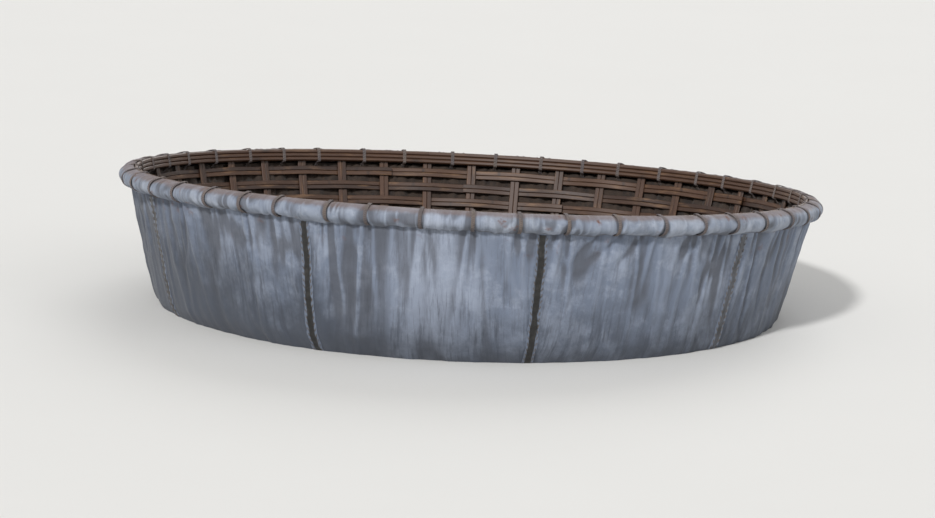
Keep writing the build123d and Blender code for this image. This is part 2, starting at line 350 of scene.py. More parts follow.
def split_bamboo(name, base, dark, pale):
    """Old split bamboo: smoked brown, satin on its bark, with long fibres, knots at its
    joints and edges that wear pale."""
    material, shader, add = new_material(name)
    tone, knot = [add("Attribute", output="Fac", attribute_name=mark) for mark in ("tone", "knot")]
    # Each split reads the grain at a place of its own, by its tone
    shifted = add("CombineXYZ", {"X": add("Math", (tone, 37.0), operation="MULTIPLY")})
    own = add("VectorMath", (add("UVMap", uv_map="Grain"), shifted), operation="ADD")
    color = dark
    for share, over in [
        (tone, base),
        (blotches(add, own, (200, 1.11111), 4, 0.65, (0.35, 0.7), 0.45), dark),
        (blotches(add, own, (111.111, 20), 4, 0.6, (0.5, 0.75), 0.5), pale),
        (add("MapRange", (knot, 0.55, 0.95, 0.0, 0.7), interpolation_type="SMOOTHSTEP"), KNOT),
    ]:
        color = add("Mix", {0: share, 6: color, 7: over}, 2, data_type="RGBA")
    fibres = blotches(add, own, (83.3333, 0.714286), 3, 0.6)
    set_inputs(shader, {
        "Base Color": color,
        "Roughness": 0.52,
        "IOR": 1.5,
        "Normal": add("Bump", {"Height": fibres, "Distance": 0.5 * MM, "Strength": 0.5}),
    })
    return material


def twisted_cord(name, color, dark, lay):
    """Two-strand fibre cord: matt, with its strands' turns, and dirt and painted shade between them."""
    material, shader, add = new_material(name)
    run = add("UVMap", uv_map="Lay")
    along, around = [add("SeparateXYZ", (run,), output=axis) for axis in ("X", "Y")]
    turns = add("Math", (along, 1 / lay, around), operation="MULTIPLY_ADD")
    wave = add("Math", (add("Math", (turns, 4 * pi), operation="MULTIPLY"),), operation="SINE")
    height = add("Math", (wave, 0.5, 0.5), operation="MULTIPLY_ADD")
    worn = blotches(add, add("TexCoord", output="Object"), 71.429, 3, 0.55, (0.4, 0.7))
    # Dirt and painted shade in the grooves between the strands
    crown = add("MapRange", (height, 0.1, 0.6), interpolation_type="SMOOTHSTEP")
    fibre = add("Mix", {0: worn, 6: color, 7: RUBBED_CORD}, 2, data_type="RGBA")
    set_inputs(shader, {
        "Base Color": add("Mix", {0: crown, 6: dark, 7: fibre}, 2, data_type="RGBA"),
        "Roughness": 0.85,
        "Normal": add("Bump", {"Height": height, "Distance": 1 * MM, "Strength": 0.9}),
    })
    return material


def plain_floor(stage):
    """Matt painted floor, very slightly mottled."""
    material, shader, add = new_material("Matt painted floor")
    soft = blotches(add, add("TexCoord", output="Object"), 666.67, 2, 0.55)
    mottle = add("Math", (soft, 0.06), operation="MULTIPLY")
    color = add("Mix", {0: mottle, 6: stage.floor_color, 7: stage.floor_mottle}, 2, data_type="RGBA")
    set_inputs(shader, {"Base Color": color, "Roughness": 0.8})
    return material


def settings(context):
    """The four groups of settings: hull, skin, basket and stage."""
    scene = context.scene
    return scene.coracle_hull, scene.coracle_skin, scene.coracle_basket, scene.coracle_stage


def part(value):
    """Value kept between 0 and 1."""
    return np.clip(value, 0, 1)


def hump(away, width):
    """Soft hump: 1 in its middle, and gone at about twice its width."""
    return np.exp(-((away / width) ** 2))


def ease(share):
    """Share from 0 to 1 that starts and ends softly."""
    return share * share * (3 - 2 * share)


def soft_noise(x, y, seed, cells=256):
    """Seeded value noise from -1 to 1, smooth between whole numbers. Along x it comes
    round again after so many cells."""
    size = 256
    draws = np.random.default_rng(seed).uniform(-1, 1, (cells, size))
    x, y = np.broadcast_arrays(np.asarray(x, float), np.asarray(y, float))
    i, j = np.floor(x).astype(int), np.floor(y).astype(int)
    u, v = ease(x - i), ease(y - j)
    near = draws[i % cells, j % size] * (1 - u) + draws[(i + 1) % cells, j % size] * u
    far = draws[i % cells, (j + 1) % size] * (1 - u) + draws[(i + 1) % cells, (j + 1) % size] * u
    return near * (1 - v) + far * v


def hull_round(hull, angle, along, outward):
    """Places on the hull: at an angle, so far up its outline from the bottom's edge and
    so far out from the skin's outside."""
    angle, along, outward = np.broadcast_arrays(angle, along, outward)
    turn = np.clip(along / hull.bilge_radius, 0, hull.bend)
    reach = hull.bilge_radius + outward
    wall = np.maximum(along - hull.bilge_arc, 0)
    radius = hull.bottom_radius + np.minimum(along, 0) + reach * np.sin(turn) + wall * cos(hull.bend)
    height = hull.bilge_radius - reach * np.cos(turn) + wall * sin(hull.bend)
    return np.stack([radius * np.cos(angle), radius * np.sin(angle), height], axis=-1)


def hull_radius(hull, along):
    """Radius of the skin's outside, so far up the outline."""
    return hull_round(hull, 0.0, along, 0.0)[..., 0]


def row_alongs(hull):
    """How far up the outline each row of weavers lies: on two flats of the bilge, and
    then up the wall."""
    flats, first, pitch, rows = 3, 76 * MM, 58 * MM, 6
    bilge = [(flat + 0.5) * hull.bilge_arc / flats for flat in range(1, flats)]
    return bilge + [hull.bilge_arc + first + row * pitch for row in range(rows)]


def weave_swing(hull, basket, row, angle):
    """How far in a weaver row has passed at an angle: 0 outside a rib, 1 inside one."""
    bays = hull.rib_count // basket.weaver_lengths
    start = hull.first_seam + row * basket.lap_step * hull.rib_pitch
    local = ((angle - start) / hull.rib_pitch) % bays
    return 0.5 - 0.5 * np.cos(pi * (local + row)), np.minimum(local, bays - local)


def between_ribs(hull, angle):
    """0 at a rib and 1 in the middle of a bay."""
    return 0.5 - 0.5 * np.cos(2 * pi * (angle - hull.first_seam) / hull.rib_pitch)


def gather_list(hull, skin, gore):
    """Gathers that hang from the hem of one gore: share of its width, half width,
    height, reach down from the hem and sideways drift."""
    draw = np.random.default_rng(skin.seed + gore)
    count = int(draw.integers(8, 11))
    places = (np.arange(count) + draw.uniform(0.1, 0.9, count)) / count
    gathers = []
    for place in places:
        half, height = draw.uniform(6, 17) * MM, skin.gather_height * draw.uniform(0.25, 0.8)
        reach = draw.choice([0.16, 0.3, 0.55, 0.8]) * draw.uniform(0.8, 1.2)
        gathers.append((place, half, height, reach, draw.uniform(-45, 45) * MM))
    lashes = (lash_angles(hull, skin) - hull.first_seam) / hull.gore_pitch - gore
    for place in lashes[(lashes > 0) & (lashes < 1)]:
        for side in (-1, 1):
            beside, half = place + side * draw.uniform(0.01, 0.03), draw.uniform(7, 13) * MM
            height, reach = skin.gather_height * draw.uniform(0.5, 1.0), draw.uniform(0.2, 0.75)
            gathers.append((beside, half, height, reach, side * draw.uniform(10, 70) * MM))
    return gathers


def crests(level):
    """Sharp crests from 0 to 1 where a noise passes through 0, along wandering lines."""
    return part(1 - 2.4 * np.abs(level)) ** 1.4


def skin_folds(hull, skin, gore, angle, along):
    """Folds of one gore: gathers that hang from the hem, creases outwards and inwards,
    and fine unevenness. They fade at the seams, where the cloth puckers."""
    radius = hull_radius(hull, along)
    share = (angle - hull.seam(gore)) / hull.gore_pitch
    across = share * hull.gore_pitch * radius
    down = np.maximum(hull.gore_top - along, 0)
    folds = np.zeros(np.broadcast(angle, along).shape)
    # Each gather drifts and wanders sideways on its way down, spreads and fades
    for place, half, height, reach, drift in gather_list(hull, skin, gore):
        wander = 6 * MM * soft_noise(along / (140 * MM), place * 40.0, skin.seed + 60)
        side = (share - place) * hull.gore_pitch * radius - drift * down / (600 * MM) - wander
        width = half * (1 + down / (700 * MM))
        fade = part(1 - down / reach) ** 0.8
        crest = hump(side, width) - 0.4 * hump(side, 2.3 * width)
        folds += height * fade * crest
    # Creases in both directions, deepest near the hem and inwards
    strength = 0.4 + 0.6 * hump(down, 300 * MM)
    warp = 0.7 * soft_noise(along / (190 * MM), gore * 7.0, skin.seed + 64)
    out = soft_noise(across / (85 * MM) + warp, along / (500 * MM) + gore * 9.0, skin.seed + 65)
    into = soft_noise(across / (100 * MM) - warp, along / (420 * MM) + gore * 11.0, skin.seed + 66)
    outward, inward = 4.8 * MM, 7.5 * MM
    folds += strength * (outward * crests(out) - inward * crests(into))
    # Height, width and length of each layer of unevenness in millimetres, and its shift by gore
    uneven = [(3.0, 130, 340, 0, 9), (1.7, 35, 160, 5, 0), (0.6, 18, 50, 0, 3)]
    for layer, (height, width, length, over, up) in enumerate(uneven):
        x, y = across / (width * MM) + gore * over, along / (length * MM) + gore * up
        folds += height * MM * soft_noise(x, y, skin.seed + 61 + layer)
    seam = np.minimum(share, 1 - share) * hull.gore_pitch * radius
    # No folds cross a seam, where stitches pucker the cloth
    folds *= ease(part(seam / (45 * MM)))
    stitch, pucker, reach = 30 * MM, 1.1 * MM, 22 * MM
    return folds + pucker * np.sin(2 * pi * along / stitch) * hump(seam, reach)


def skin_relief(hull, skin, basket, gore, angle, along):
    """How far the skin of one gore stands out from the hull's even round: its folds,
    the basket pressing through, and slack between ribs. It lies on the weavers."""
    angle, along = np.broadcast_arrays(angle, along)
    band, press, slack = 26 * MM, 3.0 * MM, 1.8 * MM
    pressed = np.zeros_like(along)
    for row, middle in enumerate(row_alongs(hull)):
        swing, from_lap = weave_swing(hull, basket, row, angle)
        beside = part(1 - from_lap / 0.4) * np.maximum(2 * swing - 1, 0)
        pressed += hump(along - middle, band) * (1 - swing + beside)
    relief = skin_folds(hull, skin, gore, angle, along) + press * pressed - 1.6 * MM
    relief -= slack * between_ribs(hull, angle) * part(along / (100 * MM))
    lowest = (-1.2 - 7 * part(1 - pressed)) * MM
    flat = part(along / (60 * MM))
    return np.maximum(relief, lowest) * flat - 0.5 * MM * (1 - flat)


def skin_round(hull, skin, basket, angle, along):
    """Relief of the skin at any angle, whichever gore is there."""
    angle, along = np.broadcast_arrays(angle, along)
    shift = (angle - hull.first_seam) % (2 * pi)
    relief = np.zeros(angle.shape)
    for gore in range(hull.gore_count):
        here = (shift // hull.gore_pitch).astype(int) % hull.gore_count == gore
        if here.any():
            turned = hull.first_seam + shift[here]
            relief[here] = skin_relief(hull, skin, basket, gore, turned, along[here])
    return relief


def above_waterline(stage, places):
    """How far places are above the waterline's plane, straight up."""
    plane = stage.float_height + stage.trim_away * places[..., 1] + stage.trim_right * places[..., 0]
    return places[..., 2] - plane


def activate(piece):
    """Leaves one object selected and active."""
    bpy.ops.object.select_all(action="DESELECT")
    piece.select_set(True)
    bpy.context.view_layer.objects.active = piece


def apply_modifier(piece, kind, **settings):
    """Adds a modifier and applies it."""
    activate(piece)
    modifier = piece.modifiers.new("Shape", kind)
    for name, value in settings.items():
        setattr(modifier, name, value)
    bpy.ops.object.modifier_apply(modifier=modifier.name)


def join(pieces, name):
    """Joins pieces into one, with its place in its mesh."""
    bpy.ops.object.select_all(action="DESELECT")
    for piece in pieces:
        piece.select_set(True)
    bpy.context.view_layer.objects.active = pieces[0]
    if len(pieces) > 1:
        bpy.ops.object.join()
    joined = bpy.context.view_layer.objects.active
    joined.name = joined.data.name = name
    return joined


def smooth(piece, angle):
    """Smooth shading, with edges sharper than an angle kept."""
    activate(piece)
    bpy.ops.object.shade_smooth_by_angle(angle=angle)


def frame_of(x, y, z, place):
    """Matrix with three directions as its axes, at a place."""
    turned = Matrix((x, y, z)).transposed().to_4x4()
    turned.translation = place
    return turned


def add_object(name, data):
    """New object with its data, linked to the scene."""
    piece = bpy.data.objects.new(name, data)
    bpy.context.scene.collection.objects.link(piece)
    return piece


def turn_piece(piece, angle, axis="Z"):
    """Turns a piece in its mesh, about an axis through the origin."""
    piece.data.transform(Matrix.Rotation(angle, 4, axis))


def mark_points(mesh, name, values):
    """Stores a number on each point of a mesh."""
    layer = mesh.attributes.get(name) or mesh.attributes.new(name, "FLOAT", "POINT")
    layer.data.foreach_set("value", np.ascontiguousarray(values, dtype=np.float32).ravel())


def corner_map(mesh, name, flat):
    """Gives a mesh a UV map with the flat place of each point."""
    corners = np.empty(len(mesh.loops), dtype=np.int32)
    mesh.loops.foreach_get("vertex_index", corners)
    layer = mesh.uv_layers.new(name=name)
    layer.data.foreach_set("uv", flat.reshape(-1, 2)[corners].astype(np.float32).ravel())


def size_map(mesh, name, size):
    """Names a mesh's own UV map and brings it to its size in metres."""
    layer = mesh.uv_layers[0]
    layer.name = name
    flat = np.empty(len(layer.data) * 2, dtype=np.float32)
    layer.data.foreach_get("uv", flat)
    layer.data.foreach_set("uv", (flat.reshape(-1, 2) * size).astype(np.float32).ravel())


def cloth_sheet(name, places, flat, marks, thickness, closed=False):
    """Sheet of cloth over a grid of places, rows upwards and columns to the right as
    seen from outside, with its flat places as UV and its thickness inwards."""
    rows, columns = places.shape[:2]
    row = np.arange(rows - 1)[:, None] * columns
    column = np.arange(columns if closed else columns - 1)
    right = (column + 1) % columns
    faces = np.stack([row + column, row + right, row + columns + right, row + columns + column], -1)
    mesh = bpy.data.meshes.new(name)
    mesh.from_pydata(places.reshape(-1, 3).tolist(), [], faces.reshape(-1, 4).tolist())
    corner_map(mesh, "Cloth", flat)
    for mark, values in marks.items():
        mark_points(mesh, mark, np.broadcast_to(values, places.shape[:2]))
    sheet = add_object(name, mesh)
    apply_modifier(sheet, "SOLIDIFY", thickness=thickness, offset=-1.0, use_even_offset=False)
    count = len(mesh.vertices) // 2
    mark_points(mesh, "inside", np.repeat([0.0, 1.0], count))
    smooth(sheet, radians(50))
    return sheet


def set_finish(piece, material, slot, *nodes):
    """Gives a piece its material and hides the nodes that it stands for. The slot is not used."""
    piece.data.materials.clear()
    piece.data.materials.append(material)
    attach(piece, "root")
    if nodes:
        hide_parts(*nodes)


def select_long_edges(piece):
    """Selects the edges that run along X, in edit mode."""
    bpy.ops.mesh.select_mode(type="EDGE")
    bpy.ops.mesh.select_all(action="DESELECT")
    mesh = bmesh.from_edit_mesh(piece.data)
    for edge in mesh.edges:
        edge.select_set(abs(edge.verts[0].co.x - edge.verts[1].co.x) > 1 * MM)
    mesh.select_flush_mode()
    bmesh.update_edit_mesh(piece.data)


def straight_split(length, thickness, width, pitch, draw):
    """Straight split of bamboo along +X, its thickness on Y and its width on Z: a bar
    with rounded edges, swollen at the knots that the cane had."""
    bpy.ops.object.select_all(action="DESELECT")
    bpy.ops.mesh.primitive_cube_add(size=1)
    piece = bpy.context.object
    piece.scale = (length, thickness, width)
    piece.location = (length / 2, 0, 0)
    bpy.ops.object.transform_apply(location=True, rotation=False, scale=True)
    bpy.ops.object.mode_set(mode="EDIT")
    select_long_edges(piece)
    bpy.ops.mesh.bevel(offset=0.3 * thickness, segments=1, affect="EDGES")
    select_long_edges(piece)
    bpy.ops.mesh.subdivide(number_cuts=max(int(length / pitch) - 1, 1))
    bpy.ops.object.mode_set(mode="OBJECT")
    mesh = piece.data
    places = np.empty(len(mesh.vertices) * 3, dtype=np.float32)
    mesh.vertices.foreach_get("co", places)
    places = places.reshape(-1, 3)
    knots = []
    place = draw.uniform(0.05, 0.3)
    # Cane has a joint every 240 to 400 mm
    while place < length:
        knots.append(round(place / pitch) * pitch)
        place += draw.uniform(0.24, 0.4)
    knot = np.zeros(len(places))
    for place in knots:
        knot = np.maximum(knot, part(1 - np.abs(places[:, 0] - place) / pitch))
    swell = 1 + 0.22 * (knot > 0.6)
    waver = 1 + 0.05 * soft_noise(places[:, 0] / (90 * MM), 0.5, int(draw.integers(1000)))
    places[:, 1] *= swell
    places[:, 2] *= waver
    mesh.vertices.foreach_set("co", places.ravel())
    for layer in list(mesh.uv_layers):
        mesh.uv_layers.remove(layer)
    corner_map(mesh, "Grain", np.stack([places[:, 0], places[:, 2] + places[:, 1]], -1))
    mark_points(mesh, "knot", knot)
    mark_points(mesh, "tone", np.full(len(places), draw.uniform(0, 1)))
    smooth(piece, radians(35))
    return piece


def line_length(points):
    """Length of a line of points."""
    return float(np.linalg.norm(np.diff(points, axis=0), axis=1).sum())


def drawn_line(name, points):
    """Curve of straight runs through points, linked to the scene."""
    line = bpy.data.curves.new(name, "CURVE")
    line.dimensions = "3D"
    run = line.splines.new("POLY")
    run.points.add(len(points) - 1)
    spots = np.concatenate([points, np.ones((len(points), 1))], axis=1)
    run.points.foreach_set("co", spots.astype(np.float32).ravel())
    return add_object(name, line)


def bend_along(piece, points, lean):
    """Bends a straight piece along a line of points with a Curve modifier, its top
    leaning outwards by an angle."""
    guide = drawn_line("Line", points)
    line = guide.data
    line.twist_mode = "Z_UP"
    line.splines[0].points.foreach_set("tilt", np.full(len(points), lean, dtype=np.float32))
    apply_modifier(piece, "CURVE", object=guide, deform_axis="POS_X")
    bpy.data.objects.remove(guide)
    bpy.data.curves.remove(line)


def bent_splits(line, size, pitch, lean, turns, draw, axis="Z"):
    """Splits of one (thickness, width) bent along the same line, one to each turn."""
    pieces = []
    for turn in turns:
        piece = straight_split(line_length(line), *size, pitch, draw)
        bend_along(piece, line, lean)
        turn_piece(piece, turn, axis)
        pieces.append(piece)
    return pieces


def copy_turned(piece, angle, tone=None):
    """Copy of a piece with its own mesh, turned about the hull's axis."""
    twin = piece.copy()
    twin.data = piece.data.copy()
    bpy.context.scene.collection.objects.link(twin)
    turn_piece(twin, angle)
    if tone is not None:
        mark_points(twin.data, "tone", np.full(len(twin.data.vertices), tone))
    return twin


def remove(pieces):
    """Removes models that have been copied."""
    for piece in pieces:
        mesh = piece.data
        bpy.data.objects.remove(piece)
        bpy.data.meshes.remove(mesh)


def ring_scale(hull):
    """Radius of an even ring, as a share of the ribs' radius, half way between the round
    through the ribs and the straight runs between them."""
    return (1 + cos(hull.rib_pitch / 2)) / 2


def side_angle(places):
    """Angle of places round the hull in degrees: 0 at the right, -90 at the front."""
    return np.degrees(np.arctan2(places[..., 1], places[..., 0]))


def sheet_marks(stage, places, folds, tarred, rim, grime_and_shade):
    """Marks that the sackcloth's material reads: hollows, which get dirt and painted shade, darkening
    towards the waterline that is wet, dirty cloth and painted shade, dirt streaks, a painted highlight down
    the front, tar line and rim."""
    splashed, deepest = 430 * MM, 9 * MM
    mud_starts, mud_full, sunny, sunny_width = -55, -90, -96, 7
    # Darker towards the waterline: wet, dirty cloth and painted shade
    tide = 0.92 * (1 - part(above_waterline(stage, places) / splashed))
    angle = side_angle(places)
    return {
        "hollow": part(0.45 - folds / deepest),
        "grime_and_shade": np.clip(tide + grime_and_shade, 0, 1.2),
        "soiled": np.where(
            np.abs(angle) < 90, part((mud_starts - angle) / (mud_starts - mud_full)), 1.0
        ),
        # Painted highlight down the front of the cloth
        "sunlit": 0.7 * hump(angle - sunny, sunny_width),
        "tarred": tarred,
        "rim": rim,
    }


def left_side(places):
    """Darker cloth on the left side: most at the left, none at the middle."""
    cleanest, dirtiest, most = -105, -155, 0.62
    angle = side_angle(places)
    side = part((cleanest - angle) / (cleanest - dirtiest)) * (angle < 0) + (angle >= 90)
    return most * part(side)


def seam_darkening(hull, gore, angle, along):
    """Darkening beside the seams of one gore, widest low down at the darkest seam."""
    share = (angle - hull.seam(gore)) / hull.gore_pitch
    width = hull.gore_pitch * hull_radius(hull, along)
    low = part(1.25 - along / hull.gore_top)
    darkest = hull.gore_count - 1
    stain_and_shade = 0.0
    narrow, wide = 24 * MM, 60 * MM
    for seam, away in ((gore, share * width), ((gore + 1) % hull.gore_count, (1 - share) * width)):
        stain_and_shade = stain_and_shade + 0.3 * hump(away, narrow)
        if seam == darkest:
            stain_and_shade = stain_and_shade + 0.55 * low * hump(away, wide)
    return stain_and_shade


class CORACLE_OT_bottom(bpy.types.Operator):
    """Bottom panel of the skin: tarred cloth, slightly rumpled"""

    bl_idname = "coracle.bottom"
    bl_label = "Bottom panel"

    def execute(self, context):
        hull, skin = settings(context)[:2]
        edge = hull.bottom_radius - hull.floor_edge
        # The panel laps over the gores, and steps up over their cloth just past its joint
        step, lap = 3 * MM, 12 * MM
        reach = np.concatenate([edge * np.linspace(0, 1, 20) ** 0.8, edge + np.array([step, lap])])
        reach[0] = 0.1 * MM
        rise = np.interp(reach, [edge, edge + step], [0.5, 2.6]) * MM
        angle = np.linspace(0, 2 * pi, 180, endpoint=False)[None, :]
        x, y = reach[:, None] * np.cos(angle), reach[:, None] * np.sin(angle)
        inner = part((edge - reach[:, None]) / 0.05)
        rumple = 0.35 * MM * soft_noise(x / (100 * MM), y / (100 * MM), skin.seed + 5) * inner
        places = np.stack([x, y, rise[:, None] + rumple], -1)
        sheet = cloth_sheet(
            "bottom_cloth", places, places[..., :2], {"worn": 0.1}, skin.thickness, closed=True
        )
        activate(sheet)
        bpy.ops.object.mode_set(mode="EDIT")
        bpy.ops.mesh.select_all(action="SELECT")
        bpy.ops.mesh.remove_doubles(threshold=0.4 * MM)
        bpy.ops.mesh.normals_make_consistent(inside=False)
        bpy.ops.object.mode_set(mode="OBJECT")
        material = brushed_tar(skin, "Sackcloth, tar brushed over it", 0.5)
        set_finish(sheet, material, "tarred_cloth", "skin_bottom")
        return {"FINISHED"}


class CORACLE_OT_gores(bpy.types.Operator):
    """Nine gores of sackcloth round the sides, gathered at the hem"""

    bl_idname = "coracle.gores"
    bl_label = "Gores"

    def execute(self, context):
        hull, skin, basket, stage = settings(context)
        material = sackcloth(skin, "Plain woven sackcloth, weathered", skin.cloth, skin.faded)
        across, up = 150, 80
        margin = 0.2 * MM / hull.bottom_radius
        flat_shift = 3.0
        for gore in range(hull.gore_count):
            start = hull.seam(gore)
            angle = np.linspace(start + margin, start + hull.gore_pitch - margin, across + 1)[None, :]
            along = np.linspace(-hull.floor_edge, hull.gore_top, up + 1)[:, None]
            angle, along = np.broadcast_arrays(angle, along)
            relief = skin_relief(hull, skin, basket, gore, angle, along)
            folds = skin_folds(hull, skin, gore, angle, along)
            places = hull_round(hull, angle, along, relief)
            middle = start + hull.gore_pitch / 2
            flat = np.stack([(angle - middle) * hull_radius(hull, along) + gore * flat_shift, along], -1)
            tarred = part((skin.tar_line - along) / (100 * MM) + 0.5)
            rim = part((along - hull.gore_top + 160 * MM) / (200 * MM))
            seam_dark = seam_darkening(hull, gore, angle, along)
            marks = sheet_marks(stage, places, folds, tarred, rim, left_side(places) + seam_dark)
            sheet = cloth_sheet(f"gore_cloth_{gore + 1}", places, flat, marks, skin.thickness)
            set_finish(sheet, material, "sack_cloth", f"skin_gore_{gore + 1}")
            width = hull.gore_pitch * float(hull_radius(hull, hull.gore_top))
            height = hull.gore_top + hull.floor_edge
            spread = hull.gore_pitch * float(hull_radius(hull, along[:, 0]).mean()) * height
        return {"FINISHED"}


def seam_wander(skin, seam, along):
    """How far a seam strays sideways on its way up."""
    return 3 * MM * soft_noise(along / (150 * MM), seam * 3.0, skin.seed + 21)


class CORACLE_OT_seams(bpy.types.Operator):
    """Tarred strips over the nine seams, with ragged edges"""

    bl_idname = "coracle.seams"
    bl_label = "Seam strips"

    def execute(self, context):
        hull, skin, basket = settings(context)[:3]
        low, high = 115 * MM, hull.gore_top - 20 * MM
        lift, thickness = 2.1 * MM, 1.6 * MM
        draw = np.random.default_rng(skin.seed + 23)
        worn = draw.uniform(0.3, 0.55, hull.gore_count)
        worn[[0, 1, -1]] = 0.05, 0.55, 0.3
        strips = []
        for seam in range(hull.gore_count):
            middle = hull.seam(seam)
            along = np.linspace(low, high, 90)[:, None]
            side = np.linspace(-1, 1, 9)[None, :]
            ragged = 1 + 0.13 * soft_noise(along / (20 * MM), side * 4 + seam * 7.0, skin.seed + 20)
            across = side * skin.seam_width / 2 * ragged
            wander = seam_wander(skin, seam, along)
            angle = middle + (across + wander) / hull_radius(hull, along)
            relief = skin_round(hull, skin, basket, angle, along + 0 * angle)
            lumps = soft_noise(across / (12 * MM), along / (20 * MM) + seam * 5.0, skin.seed + 22)
            places = hull_round(hull, angle, along, relief + lift + 0.5 * MM * lumps)
            flat = np.stack([across + seam * 0.2, along + 0 * across], -1)
            marks = {"worn": worn[seam], "edge": np.abs(side)}
            strips.append(cloth_sheet(f"strip_{seam}", places, flat, marks, thickness))
        strip = join(strips, "seam_strips")
        set_finish(strip, brushed_tar(skin, "Tar brushed over a cloth strip", 0.38), "tar", "skin_seams")
        return {"FINISHED"}


def lash_angles(hull, skin):
    """Angles of the lashings: one in the middle of each bay, not quite evenly."""
    draw = np.random.default_rng(skin.seed + 30)
    bays = np.arange(hull.rib_count)
    jitter = draw.uniform(-0.1, 0.1, hull.rib_count)
    return hull.first_seam + (bays + 0.5 + jitter) * hull.rib_pitch


def smooth_line(points, count, closed=False):
    """Even points along a smooth line through a few chosen ones."""
    points = np.asarray(points, float)
    if closed:
        held = np.concatenate([points[-1:], points, points[:2]])
    else:
        held = np.concatenate([2 * points[:1] - points[1:2], points, 2 * points[-1:] - points[-2:-1]])
    share = np.linspace(0, 1, 24, endpoint=False)[:, None]
    runs = []
    for a, b, c, d in zip(held, held[1:], held[2:], held[3:]):
        runs.append(
            0.5 * (2 * b + (c - a) * share + (2 * a - 5 * b + 4 * c - d) * share**2
                   + (3 * b - a - 3 * c + d) * share**3)
        )
    line = np.concatenate(runs + [held[-2:-1]])
    gone = np.concatenate([[0], np.cumsum(np.linalg.norm(np.diff(line, axis=0), axis=1))])
    even = np.linspace(0, gone[-1], count)
    return np.stack([np.interp(even, gone, line[:, axis]) for axis in range(points.shape[1])], -1)


def lip_section(count):
    """Middle of the lip's cloth as (outward, up the wall), from inside the rim hoop's
    top, over the roll and down to the hem on the wall."""
    chosen = [
        (-19, 452), (-10, 452.2), (2, 451.2), (18, 448.4), (31.5, 439.5),
        (37, 424), (33, 408.5), (20, 395.5), (8, 387.5), (3.2, 381.6),
    ]
    return smooth_line(np.array(chosen) * MM, count)


def rim_noise(turn, girth, width, down, seed):
    """Noise that closes round the rim, in cells about as wide as given."""
    cells = round(girth / width)
    return soft_noise(turn * cells, down, seed, cells)


def section_normals(section):
    """Outward directions across a section of the lip."""
    run = np.gradient(section, axis=0)
    run /= np.linalg.norm(run, axis=1)[:, None]
    return np.stack([run[:, 1], -run[:, 0]], -1) * -1


class CORACLE_OT_lip(bpy.types.Operator):
    """Lip of the skin, folded over the rim and puffed between its lashings"""

    bl_idname = "coracle.lip"
    bl_label = "Lip"

    def execute(self, context):
        hull, skin, basket, stage = settings(context)
        rows, across = 21, 180
        lift, thickness = 1.5 * MM, 3 * MM
        puffed, cinched, creased = 5.5 * MM, 1.3 * MM, 5.8 * MM
        section = lip_section(rows)[::-1]
        normals = section_normals(lip_section(rows))[::-1]
        lashes = lash_angles(hull, skin)
        radius = float(hull_radius(hull, hull.top))
        girth = 2 * pi * radius
        back_gore = hull.gore_count // 2
        bands = []
        down = np.linspace(0, 1, rows)[:, None]
        for gore in range(hull.gore_count):
            start = hull.seam(gore)
            angle = np.linspace(start, start + hull.gore_pitch, across + 1)[None, :]
            turn = (angle - hull.first_seam) / (2 * pi)
            away = np.abs((angle[..., None] - lashes + pi) % (2 * pi) - pi).min(axis=-1) * radius
            cinch = hump(away, 13 * MM)
            puff = 0.5 + 0.5 * rim_noise(turn, girth, 60 * MM, down * 2.2, skin.seed + 40)
            lean = 14 * MM * rim_noise(turn, girth, 50 * MM, 9.0, skin.seed + 44) * down
            crease = rim_noise(turn + lean / girth, girth, 24 * MM, down * 1.1 + 7.0, skin.seed + 41)
            crease = (crests(crease) - 0.3) * (0.45 + 0.55 * hump(away, 60 * MM))
            window = np.clip(down / 0.12, 0.35, 1) * part((1 - down) / 0.15)
            swell = (puffed * puff * (1 - cinch) - cinched * cinch + creased * crease) * window
            spread = section[:, None, :] + normals[:, None, :] * swell[..., None]
            hem = rim_noise(turn, girth, 90 * MM, 2.0, skin.seed + 42)
            hem = hem + 0.5 * rim_noise(turn, girth, 20 * MM, 5.0, skin.seed + 43)
            up = spread[..., 1] + 6 * MM * hem * (1 - part(down / 0.2))
            along = hull.bilge_arc + up
            skin_out = skin_round(hull, skin, basket, angle + 0 * along, np.minimum(along, hull.gore_top))
            low = (1 - part(down / 0.22)) ** 0.5
            outward = spread[..., 0] + np.maximum(skin_out, 0) * low
            outward = np.maximum(outward, np.where(along < hull.gore_top, skin_out + 1.9 * MM, -1.0))
            places = hull_round(hull, angle, along, outward + lift)
            places[..., :2] *= ring_scale(hull)
            around = (turn - (gore >= back_gore)) * girth
            flat = np.stack([around + 0 * along, down * 0.17 + 0 * along], -1)
            handled = 1 + 0.8 * part((down - 0.5) / 0.25)
            left = 0.6 * left_side(places)
            # The swell stands in for folds: cinches under the lashings get dirt and painted shade, and puffs
            # get paler crests with a painted highlight
            marks = sheet_marks(stage, places, 1.8 * swell - 4.5 * MM, 0.0, handled, left)
            bands.append(cloth_sheet(f"band_{gore}", places, flat, marks, thickness))
        lip = join(bands, "lip_cloth")
        material = sackcloth(skin, "Doubled sackcloth, folded over the rim", skin.lip, skin.faded_lip)
        set_finish(lip, material, "lip_cloth", "rim_lip")
        return {"FINISHED"}


